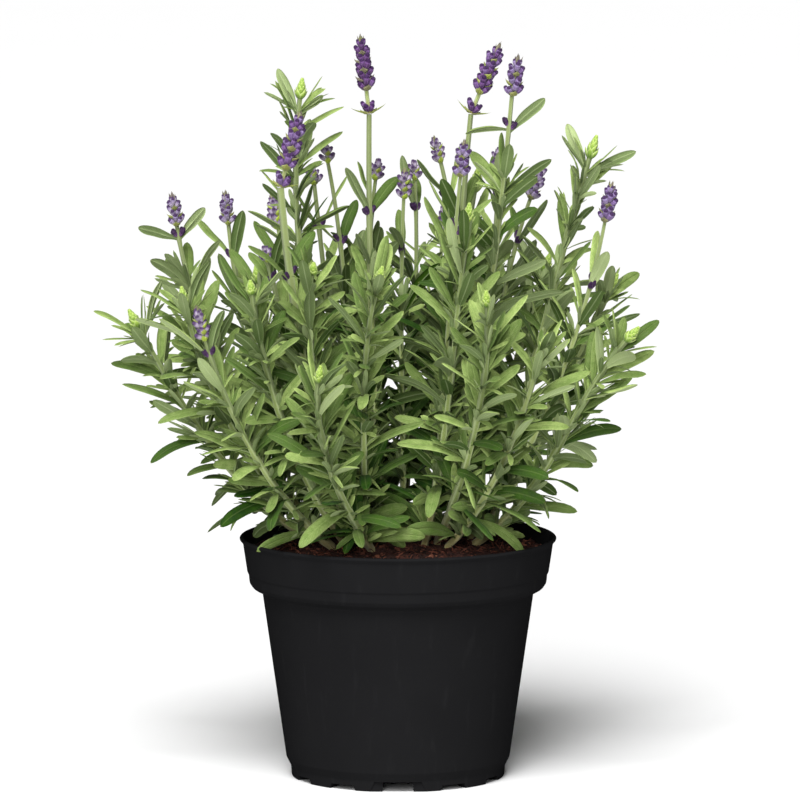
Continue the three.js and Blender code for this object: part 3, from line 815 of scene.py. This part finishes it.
def addBud(bm, shoot, skin):
    look, parts = budLook, budCore["parts"]
    along = (shoot.top - shoot.tip).normalized()
    length = (shoot.top - shoot.tip).length
    _, _, right, back = seatOn(shoot.tip, along, 0)
    core = []
    for k in range(parts + 1):
        t = k / parts
        swell = math.sin(math.pi * min(1, grade(t, *budCore["round"]))) ** budCore["blunt"]
        size = budCore["radius"] * swell if 0 < k < parts else 0
        core.append((t, size, shoot.tip + along * length * grade(t, *budCore["up"]), right, back))
    sweep(bm, budCore["sides"], core, roundSection, budCore["tone"], skin)
    for row in range(look["rows"]):
        height = row / (look["rows"] - 1)
        foot = shoot.tip + along * length * grade(height, *look["up"])
        scale = {
            "rise": grade(height, *look["rise"]),
            "curl": grade(height, *look["curl"]),
            "length": look["reach"] * grade(height, *look["reachShare"]) * length / look["usualLength"],
            "width": look["width"] * grade(height, *look["widthShare"]),
        }
        for k in range(look["around"]):
            turn = shoot.turn + 360 * (k + 0.5 * (row % 2)) / look["around"]
            turn = around(shoot.extra, turn, look["turnSpread"])
            seat = seatOn(foot, along, turn, grade(height, *look["out"]))
            addLeaf(bm, seat, scale, "bract", within(shoot.extra, *look["tone"]), skin, scaleOutline)


def makeBudSkin():
    board = Board("youngBud")
    u, v = board.surface()
    felt = board.noise(2800, 2)
    edge = board.edge(u)
    colour = board.coats(board.blend(board.tone(), *budPaint["body"]), (
        (board.step(v, 0.55, 0.1), 0.6, budPaint["foot"]),
        (board.step(v, 0.6, 1), 0.6, budPaint["end"]),
        (board.step(edge, 0.6, 1), 0.5, budPaint["edge"]),
        (board.step(felt, 0.5, 0.75), 0.25, budPaint["felt"]),
    ))
    return board.finish(felt, 0.0002, colour, 0.6 + felt * 0.1, specular=0.3, sheen=0.2)


leafSkin, stemSkin, budSkin = makeLeafSkin(), makeStemSkin(), makeBudSkin()
onLeaf, onStem, onBud, onAxil = range(4)  # the places of a leafy stem's skins


def makeLeafyStem(shoot):
    bm = startShape()
    addStem(bm, shoot, onStem)
    for leaf in shoot.leaves:
        seat = shoot.seat(leaf["s"], leaf["turn"])
        slim = {**leaf, "width": bladeLook["slim"] * leaf["width"]}
        addLeaf(bm, seat, slim, "leaf", leafTone(shoot, seat, leaf["height"]), onLeaf)
    young = addYoungPairs(bm, shoot, crowdOf(shoot), onLeaf)
    for leaf in shoot.leaves:
        if leaf["height"] < 1 or not shoot.hasHead:
            addTuft(bm, shoot, leaf, tuftLook["count"], 1, onLeaf)
    for leaf in young:
        addTuft(bm, shoot, leaf, tuftLook["youngCount"], tuftLook["youngShare"], onLeaf)
    if shoot.hasHead:
        addAxilBuds(bm, shoot, onAxil)
    else:
        addBud(bm, shoot, onBud)
    skins = [leafSkin, stemSkin, budSkin, violetSkin]
    finishPiece("leafyStem_" + shoot.name, bm, skins, ["stem_" + shoot.name])


# Flower heads

# A calyx and the bud of its flower, as (place along it, share of its radius).
floretShape = ((0, 0), (0.03, 0.5), (0.18, 0.84), (0.42, 1), (0.62, 1), (0.73, 0.9), (0.78, 0.8),
               (0.88, 0.76), (0.96, 0.5), (1, 0))
# The core of a head, as (place along its surface, radius, share of the head's length).
coreShape = ((0, 0, 0), (0, 0.95, 0), (0.9, 0.8, 0.82), (1, 0, 0.9))
spikeLook = {
    "coreUp": 0.3, "low": 0.9, "spacing": 4.1, "slimmer": 0.3, "lean": 57, "leanLess": 0.14,
    "turn": 90, "youngTurn": 30, "turnSpread": 50, "coreSides": 10, "coreTone": 0.5,
    "crownShare": 0.24, "crownMost": 4.4, "crownReach": 1.3,
}
floretLook = {
    "sides": 8, "length": 5.5, "width": 2.75, "curl": -24, "fan": 58, "jitter": 16, "out": 0.4,
    "middleUp": 1.3, "sideUp": (-0.3, 0.8), "size": (0.84, 0.3), "toneSpread": 0.24,
    "fullRadius": 4.5, "mostShare": 1.1, "power": 0.7,
    "bractLength": 4.9, "bractWidth": 4.5, "bractDown": 0.9,
}
# A head with a violet less deep than this is young. A bract's rise also changes with its florets' lean.
youngDepth = 0.3
headAges = {
    "young": {"lean": 0.3, "out": 1.3, "rise": (34, 0), "curl": -42, "share": 1.15},
    "grown": {"lean": 0.8, "out": 0.9, "rise": (60, -0.9), "curl": -62, "share": 1},
}
crownLook = {
    "florets": 4, "down": 1.2, "turnSpread": 30, "out": 0.3, "rise": 58, "length": 0.7, "width": 0.42,
    "paler": 0.1,
    "bracts": 10, "bractUp": (-0.9, 0.1), "bractTurn": 137, "bractOut": (0.7, -0.05),
    "bractRise": (60, 2.6), "riseSpread": 8, "bractCurl": -26, "bractLength": (0.75, 0.25),
    "bractWidth": 0.6, "bractTone": (0.05, 0.35),
}
# The whorl that stands apart under a tall head, with a narrow leaf on each side.
lowWhorl = {
    "up": 1.2, "top": 4.9, "share": 0.84, "turn": 10, "lean": 58, "olive": 0.5, "leafDown": 0.8,
    "leafOut": 0.6, "leafTone": 0.8, "leaf": {"rise": 12, "curl": -26, "length": 8.5, "width": 2.2},
}
axilLook = {
    "count": 2, "apart": 40, "turnSpread": 20, "above": 1.4, "out": 0.5, "rise": (40, 16),
    "length": (3.8, 1), "width": 2.3, "tone": 1.3,
}
# For each head: how deep its violet is, and how olive its bracts are.
spikeTones = {
    "tall_left": (0.72, 0.45),
    "tall_middle": (0.95, 0.25),
    "tall_right": (0.82, 0.6),
    "tall_far_right": (0.62, 0.45),
    "right_outer": (0.6, 0.35),
    "front_tall": (0.5, 0.55),
    "left_outer": (0.36, 0.6),
    "left_back": (0.36, 0.6),
    "right_back": (0.34, 0.5),
}
youngTones = (0.14, 0.8)


def addFloret(bm, seat, rise, length, width, tone, skin):
    leaf = {"rise": rise, "curl": floretLook["curl"], "length": length, "width": width}
    rows = []
    for v, size in floretShape:
        point, up, wide = alongLeaf(seat, leaf, v)
        rows.append((v, size * width / 2, point, wide, up))
    sweep(bm, floretLook["sides"], rows, roundSection, tone, skin)


onFloret, onBract, onCore = range(3)  # the places of a head's skins


# Two opposite groups of three florets, each over a bract.
def addWhorl(bm, foot, along, radius, turn, tones, draw, lean):
    look, (depth, olive) = floretLook, tones
    age = headAges["young" if depth < youngDepth else "grown"]
    share = min(look["mostShare"], radius / look["fullRadius"])
    length, width = look["length"] * share ** look["power"], look["width"] * share ** look["power"]
    for side in (0, 180):
        for aside in (-1, 0, 1):
            angle = around(draw, turn + side + aside * look["fan"], look["jitter"])
            rise = around(draw, 90 - lean * (age["lean"] if aside == 0 else 1), look["jitter"])
            up = look["middleUp"] if aside == 0 else within(draw, *look["sideUp"])
            seat = seatOn(foot + along * up, along, angle, look["out"])
            size = within(draw, *look["size"])
            tone = around(draw, depth, look["toneSpread"])
            addFloret(bm, seat, rise, length * size, width * size, tone, onFloret)
        angle = around(draw, turn + side, look["jitter"])
        seat = seatOn(foot - along * look["bractDown"], along, angle, age["out"])
        bract = {
            "rise": grade(lean, *age["rise"]),
            "curl": age["curl"],
            "length": look["bractLength"] * share * age["share"],
            "width": look["bractWidth"] * share,
        }
        addLeaf(bm, seat, bract, "bract", around(draw, olive, look["toneSpread"]), onBract, bractOutline)


def addCrown(bm, foot, along, reach, radius, depth, draw):  # the pointed bracts at the top of a head
    look = crownLook
    for k in range(look["florets"]):
        angle = within(draw, 90 * k, look["turnSpread"])
        seat = seatOn(foot - along * look["down"], along, angle, look["out"])
        length, width = look["length"] * reach, look["width"] * radius
        addFloret(bm, seat, look["rise"], length, width, depth - look["paler"], onFloret)
    for k in range(look["bracts"]):
        angle = within(draw, look["bractTurn"] * k, look["turnSpread"])
        seat = seatOn(foot + along * grade(k, *look["bractUp"]), along, angle, grade(k, *look["bractOut"]))
        bract = {
            "rise": within(draw, grade(k, *look["bractRise"]), look["riseSpread"]),
            "curl": look["bractCurl"],
            "length": reach * within(draw, *look["bractLength"]),
            "width": look["bractWidth"] * radius,
        }
        addLeaf(bm, seat, bract, "bract", within(draw, *look["bractTone"]), onBract, bractOutline)


def addAxilBuds(bm, shoot, skin):  # the violet buds over a flowering stem's highest pair of leaves
    draw, look = shoot.extra, axilLook
    for leaf in [leaf for leaf in shoot.leaves if leaf["height"] == 1]:
        for k in range(look["count"]):
            turn = around(draw, leaf["turn"] + look["apart"] * (k - 0.5), look["turnSpread"])
            seat = shoot.seat(leaf["s"] + look["above"] / shoot.length, turn, look["out"])
            length = within(draw, *look["length"])
            addFloret(bm, seat, grade(k, *look["rise"]), length, look["width"], look["tone"], skin)


def addLowWhorl(bm, shoot, along, depth):
    look = lowWhorl
    foot, radius = shoot.tip + along * look["up"], look["share"] * shoot.head["radius"]
    tones = (depth, look["olive"])
    addWhorl(bm, foot, along, radius, look["turn"], tones, shoot.extra, look["lean"])
    for side in (0, 180):
        seat = seatOn(foot - along * look["leafDown"], along, look["turn"] + side, look["leafOut"])
        addLeaf(bm, seat, look["leaf"], "bract", look["leafTone"], onBract, bractOutline)


def makeHead(shoot):
    head, draw, look = shoot.head, shoot.extra, spikeLook
    tones = spikeTones.get(shoot.name, youngTones)
    along = (shoot.top - shoot.tip).normalized()
    length = (shoot.top - shoot.tip).length
    bm = startShape()
    point, _, right, back = seatOn(shoot.tip + along * look["coreUp"], along, 0)
    core = [(v, size, point + along * share * length, right, back) for v, size, share in coreShape]
    sweep(bm, look["coreSides"], core, roundSection, look["coreTone"], onCore)
    low = look["low"]
    if "gap" in head:
        addLowWhorl(bm, shoot, along, tones[0])
        low = lowWhorl["top"] + head["gap"]
    crown = min(look["crownMost"], look["crownShare"] * (length - low))
    span = length - low - crown
    spacing = look["spacing"] * (head["radius"] / floretLook["fullRadius"]) ** floretLook["power"]
    count = max(1, round(span / spacing))
    step = look["turn"] if shoot.name in spikeTones else look["youngTurn"]
    for k in range(count):
        radius = head["radius"] * (1 - look["slimmer"] * (k / count) ** 2)
        foot = shoot.tip + along * (low + span * k / count)
        lean = look["lean"] * (1 - look["leanLess"] * k / count)
        olive = 1 if k == 0 and tones is youngTones else tones[1]
        turn = around(draw, step * k - 90, look["turnSpread"])
        addWhorl(bm, foot, along, radius, turn, (tones[0], olive), draw, lean)
    foot, reach = shoot.top - along * crown, look["crownReach"] * crown
    addCrown(bm, foot, along, reach, head["radius"], tones[0], draw)
    skins = [violetSkin, bractSkin, stemSkin]
    finishPiece("flowerSpike_" + shoot.name, bm, skins, ["head_" + shoot.name])


violetPaint = {
    "calyx": ((0.15, paint(136, 122, 146)), (0.5, paint(108, 84, 142)), (0.95, paint(76, 36, 86))),
    "patch": (paint(112, 94, 128), paint(70, 34, 96)), "rib": paint(142, 114, 162),
    "pale": paint(186, 176, 190), "foot": (paint(126, 134, 84), paint(134, 104, 132)),
    "felt": paint(178, 160, 186), "flower": (paint(70, 50, 86), paint(46, 14, 64)),
    "flowerFelt": paint(122, 70, 140), "axil": paint(38, 14, 48),
    "rim": ((0.2, paint(54, 36, 68)), (0.45, paint(182, 174, 206)), (0.8, paint(112, 74, 134))),
}
bractPaint = {
    "body": ((0.05, paint(104, 84, 92)), (0.5, paint(134, 138, 56)), (1, paint(176, 202, 40))),
    "vein": paint(92, 92, 46), "end": paint(76, 56, 60), "edge": paint(180, 176, 146),
    "felt": paint(190, 186, 164),
}


def makeVioletSkin():
    board = Board("violetCalyx")
    u, v = board.surface()
    tone = board.tone()
    ribs = board.waves(u * 7)
    felt = board.noise(2600, 3)
    patch = board.noise(500, 2)
    foot = board.blend(board.step(tone, 0.5, 0.9), *violetPaint["foot"])
    body = board.coats(board.ramp(tone, violetPaint["calyx"]), (
        (patch, 0.4, board.blend(tone, *violetPaint["patch"])),
        (ribs, 0.25, violetPaint["rib"]),
        (board.step(v, 0.74, 0.4) * board.step(tone, 0.8, 0.3), 0.6, violetPaint["pale"]),
        (board.step(v, 0.26, 0.04), 0.85, foot),
        (board.step(felt, 0.5, 0.74), 0.28, violetPaint["felt"]),
    ))
    flower = board.blend(tone, *violetPaint["flower"])
    flower = board.blend(board.step(felt, 0.5, 0.8) * 0.2, flower, violetPaint["flowerFelt"])
    rim = board.step(v, 0.6, 0.69) * (1 - board.step(v, 0.72, 0.78))
    colour = board.coats(board.blend(board.step(v, 0.7, 0.78), body, flower), (
        (rim, 0.2 + patch * 0.5, board.ramp(tone, violetPaint["rim"])),
        (board.step(tone, 1, 1.2) * board.step(v, 0.2, 0.5), 0.85, violetPaint["axil"]),
    ))
    height, roughness = felt * 0.5 + ribs * 0.5, 0.55 + felt * 0.25
    return board.finish(height, 0.00025, colour, roughness, specular=0.25, sheen=0.1, sheenRoughness=0.4)


def makeBractSkin():
    board = Board("oliveBract")
    u, v = board.surface()
    tone = board.tone()
    edge = board.edge(u)
    felt = board.noise(2400, 3)
    veins = board.waves(edge * 5)
    colour = board.coats(board.ramp(tone, bractPaint["body"]), (
        (veins, 0.25, bractPaint["vein"]),
        (board.step(v, 0.7, 1) * 0.5, 1 - tone, bractPaint["end"]),
        (board.step(edge, 0.75, 1), 0.3, bractPaint["edge"]),
        (board.step(felt, 0.5, 0.75), 0.25, bractPaint["felt"]),
    ))
    height = felt * 0.5 + veins * 0.5
    return board.finish(height, 0.0002, colour, 0.65 + felt * 0.15, specular=0.3, sheen=0.2)


violetSkin, bractSkin = makeVioletSkin(), makeBractSkin()
for shoot in shoots:
    makeLeafyStem(shoot)
print("leafy stems are made")
for shoot in shoots:
    if shoot.hasHead:
        makeHead(shoot)
print("flower heads are made")


# Soil

soilLook = {
    "rings": 42, "steps": 120, "crumbs": 3000, "fibres": 1100, "seed": 4242, "tone": 0.5, "sunk": 0.3,
    "edgeMore": 0.2, "edgeHeight": 98, "mergeGap": 0.01, "crease": 80,
}
soilUnder = [(0, 6.4), (47.9, 6.4), (58.4, 82.5), (64, 85.8)]
topMark = 200  # the height of the top's points until they take the soil's
# The soil's fine relief, as (how close the lumps lie, how high they are, which layer of the noise).
soilLumps = ((0.16, 0.9, 3), (0.55, 0.6, 7))
crumbLook = {
    "size": (0.35, 1.2), "sizePower": 3, "inset": 0.5, "lift": 0.2, "tilt": 0.6,
    "long": (0.8, 0.8), "high": (0.5, 0.4), "dent": 0.5, "dentRate": 1.3,
}
fibreLook = {
    "rise": (-8, 70), "curl": (4, 60), "length": (1.6, 3.4), "thick": (0.1, 0.12),
    "inset": 9, "lift": 0.4, "parts": 5, "sides": 4,
}
peatPaint = {
    "body": (paint(13, 5, 3), paint(58, 26, 18)), "speck": paint(142, 90, 68),
    "hollow": paint(38, 14, 11), "grain": paint(100, 62, 46),
    "fibre": (paint(46, 20, 14), paint(120, 68, 50)), "fibreGrain": paint(44, 20, 14),
}


def roughSoil(x, y):  # the soil's height with its fine relief
    height = soilHeight(x, y)
    for rate, size, layer in soilLumps:
        height += size * noise.noise(Vector((x * rate, y * rate, layer)))
    return height - soilLook["sunk"]


def makeSoil():
    look = soilLook
    bm = startShape()
    edge = soilShape["edge"] + look["edgeMore"]
    top = [(edge * (1 - k / look["rings"]), topMark) for k in range(look["rings"] + 1)]
    verts = [bm.verts.new((r, 0, z)) for r, z in [*soilUnder, (edge, look["edgeHeight"]), *top]]
    edges = [bm.edges.new(pair) for pair in zip(verts, verts[1:])]
    bmesh.ops.spin(bm, geom=verts + edges, cent=(0, 0, 0), axis=(0, 0, 1), dvec=(0, 0, 0),
                   angle=fullTurn, steps=look["steps"], use_merge=True)
    bmesh.ops.remove_doubles(bm, verts=bm.verts, dist=look["mergeGap"])
    for vert in bm.verts:
        if vert.co.z > 0.75 * topMark:
            vert.co.z = roughSoil(vert.co.x, vert.co.y)
    bmesh.ops.recalc_face_normals(bm, faces=bm.faces)
    shade = bm.verts.layers.float["tone"]
    for vert in bm.verts:
        vert[shade] = look["tone"]
    draw = seededRandom(look["seed"])
    for _ in range(look["crumbs"]):
        addCrumb(bm, draw)
    for _ in range(look["fibres"]):
        addFibre(bm, draw)
    finishPiece("pottingSoil", bm, [makeSoilSkin(), makeFibreSkin()], ["soil"], look["crease"])


def spotOnSoil(draw, inset):
    away, angle = (soilShape["edge"] - inset) * math.sqrt(draw()), fullTurn * draw()
    x, y = away * math.cos(angle), away * math.sin(angle)
    return Vector((x, y, roughSoil(x, y)))


def addCrumb(bm, draw):
    look = crumbLook
    size = grade(draw() ** look["sizePower"], *look["size"])
    spot = spotOnSoil(draw, size + look["inset"])
    place = Matrix.Translation(spot + Vector((0, 0, look["lift"] * size)))
    place @= Matrix.Rotation(fullTurn * draw(), 4, "Z") @ Matrix.Rotation(look["tilt"] * draw(), 4, "X")
    long, high = within(draw, *look["long"]), within(draw, *look["high"])
    place @= Matrix.Diagonal((size * long, size, size * high, 1))
    crumb = startShape()
    bmesh.ops.create_icosphere(crumb, subdivisions=1, radius=1, matrix=place)
    shade = crumb.verts.layers.float["tone"]
    tone = draw()
    for vert in crumb.verts:
        vert.co += (vert.co - spot) * look["dent"] * noise.noise(vert.co * look["dentRate"])
        vert[shade] = tone
    join(bm, crumb)


def addFibre(bm, draw):
    look, parts = fibreLook, fibreLook["parts"]
    spot = spotOnSoil(draw, look["inset"]) + Vector((0, 0, look["lift"]))
    leaf = {key: within(draw, *look[key]) for key in ("rise", "curl", "length")}
    seat = seatOn(spot, Vector((0, 0.001, 1)).normalized(), 360 * draw())
    thick = within(draw, *look["thick"])
    drift = draw() - 0.5
    rows = []
    for k in range(parts + 1):
        t = k / parts
        point, up, wide = alongLeaf(seat, leaf, t)
        point += wide * leaf["length"] * drift * t * t
        rows.append((t, thick if 0 < k < parts else 0, point, wide, up))
    sweep(bm, look["sides"], rows, roundSection, draw(), 1)


def makeSoilSkin():
    board = Board("darkPeat")
    tone = board.tone()
    lumps = board.noise(420, 5)
    grains = board.noise(1900, 4)
    colour = board.coats(board.blend(tone, *peatPaint["body"]), (
        (board.step(tone, 0.82, 0.96), 0.7, peatPaint["speck"]),
        (board.step(lumps, 0.35, 0.7), 0.4, peatPaint["hollow"]),
        (board.step(grains, 0.6, 0.76), 0.5, peatPaint["grain"]),
    ))
    return board.finish(lumps + grains * 0.5, 0.0008, colour, 0.85 + grains * 0.1, specular=0.25)


def makeFibreSkin():
    board = Board("peatFibre")
    grains = board.noise(1500, 2)
    colour = board.blend(board.tone(), *peatPaint["fibre"])
    colour = board.blend(grains * 0.5, colour, peatPaint["fibreGrain"])
    return board.finish(grains, 0.0002, colour, 0.75 + grains * 0.1, specular=0.25)


makeSoil()
print("soil is made")


# Pot

potLook = {
    "steps": 192, "rounding": 0.45, "roundSteps": 3, "mergeGap": 0.003, "crease": 28, "barEnd": 54,
    "drains": (45, 135, 225, 315), "drainCircle": 33, "drainRadius": 3, "drainMiddle": 5.5,
    "drainDepth": 6, "drainSides": 24,
}
potPaint = {"body": (paint(22, 22, 23), paint(26, 26, 27)), "worn": paint(48, 48, 49)}
potOutline = [  # as (radius, height), from under the floor round the outside and down the inside
    (0, 4.9), (40.5, 4.9), (40.5, 0), (47, 0), (47.4, 4.6), (49.4, 8.4), (59.9, 82.1), (64.2, 84.2),
    (65.5, 86.1), (65.9, 90), (66.5, 90.8), (68.4, 103.6), (70, 105.5), (69.3, 106.4), (68.1, 106.4),
    (64.3, 85.4), (58.7, 82.4), (48.2, 6.1), (0, 6.1),
]
# The notches that part the foot ring, as (angle from the front, half the width, depth, slope, inner end).
smallNotches = [(31.25, 6.3), (62, 5.7), (118, 5.7), (148.75, 6.3), (211.25, 6.3), (242, 5.7), (298, 5.7),
                (328.75, 6.3)]
notches = [(angle, half, 2.3, 0.6, 34) for angle, half in smallNotches]
for angle in (0, 180):
    notches += [(angle, 11.5, 4.5, 1.2, 45.2), (angle, 6.7, 4.5, 0.3, 34)]


def spunPot():
    bm = bmesh.new()
    verts = [bm.verts.new((r, 0, z)) for r, z in potOutline]
    for pair in zip(verts, verts[1:]):
        bm.edges.new(pair)
    bmesh.ops.bevel(bm, geom=verts[1:-1], affect="VERTICES", offset=potLook["rounding"],
                    segments=potLook["roundSteps"], profile=0.5, material=-1, clamp_overlap=True)
    bmesh.ops.spin(bm, geom=bm.verts[:] + bm.edges[:], cent=(0, 0, 0), axis=(0, 0, 1), dvec=(0, 0, 0),
                   angle=fullTurn, steps=potLook["steps"], use_merge=True)
    bmesh.ops.remove_doubles(bm, verts=bm.verts, dist=potLook["mergeGap"])
    bmesh.ops.recalc_face_normals(bm, faces=bm.faces)
    return bm


def cutterBars():  # the bars and drills that open the foot ring and the floor
    bm = bmesh.new()
    for angle, half, depth, slope, inner in notches:
        made = bmesh.ops.create_cube(bm, size=1)["verts"]
        for vert in made:
            wide = half + (slope if vert.co.z < 0 else -slope)
            out = potLook["barEnd"] if vert.co.y < 0 else inner
            vert.co = Vector((2 * wide * vert.co.x, -out, depth if vert.co.z > 0 else -1))
        turn = Matrix.Rotation(math.radians(angle), 3, "Z")
        bmesh.ops.rotate(bm, verts=made, cent=(0, 0, 0), matrix=turn)
    for angle in potLook["drains"]:
        place = Matrix.Rotation(math.radians(angle), 4, "Z")
        place @= Matrix.Translation((0, -potLook["drainCircle"], potLook["drainMiddle"]))
        radius = potLook["drainRadius"]
        bmesh.ops.create_cone(bm, cap_ends=True, segments=potLook["drainSides"], radius1=radius,
                              radius2=radius, depth=potLook["drainDepth"], matrix=place)
    bmesh.ops.recalc_face_normals(bm, faces=bm.faces)
    return bm


def looseObject(name, bm):
    mesh = bpy.data.meshes.new(name)
    bm.to_mesh(mesh)
    bm.free()
    made = bpy.data.objects.new(name, mesh)
    bpy.context.collection.objects.link(made)
    return made


def makePot():
    whole, bars = looseObject("wholePot", spunPot()), looseObject("bars", cutterBars())
    cut = whole.modifiers.new("cut", "BOOLEAN")
    cut.operation, cut.solver, cut.object, cut.use_self = "DIFFERENCE", "EXACT", bars, True
    done = whole.evaluated_get(bpy.context.evaluated_depsgraph_get())
    bm = bmesh.new()
    bm.from_mesh(done.to_mesh())
    done.to_mesh_clear()
    bpy.data.objects.remove(whole)
    bpy.data.objects.remove(bars)
    finishPiece("nurseryPot", bm, [makePotSkin()], ["pot"], potLook["crease"])


def makePotSkin():
    board = Board("blackPlastic")
    grain = board.noise(1600, 3)
    cloud = board.noise(38, 3)
    scuffs = board.noise(240, 4, (1, 1, 0.15))
    worn = board.step(scuffs, 0.58, 0.8)
    colour = board.blend(worn * 0.12, board.blend(cloud, *potPaint["body"]), potPaint["worn"])
    roughness = 0.5 + cloud * 0.14 + worn * 0.1
    return board.finish(grain * 0.6 + scuffs * 0.4, 0.00005, colour, roughness, specular=0)


makePot()
print("pot is made")


# Floor

floorLook = {
    "size": 24, "pale": (0.78, 0.78, 0.78, 1), "dark": (0.75, 0.75, 0.75, 1), "clouds": 3,
    "roughness": 0.9,
}


def makeFloor():
    bm = bmesh.new()
    bmesh.ops.create_grid(bm, x_segments=1, y_segments=1, size=floorLook["size"] / 2)
    floor = looseObject("floor", bm)
    board = Board("paleFloor")
    cloud = board.noise(floorLook["clouds"], 2)
    colour = board.blend(cloud * 0.2, floorLook["pale"], floorLook["dark"])
    floor.data.materials.append(board.finish(cloud, 0.0001, colour, floorLook["roughness"], specular=0.1))


makeFloor()
bpy.data.meshes.remove(carrier)
print("everything is in place")
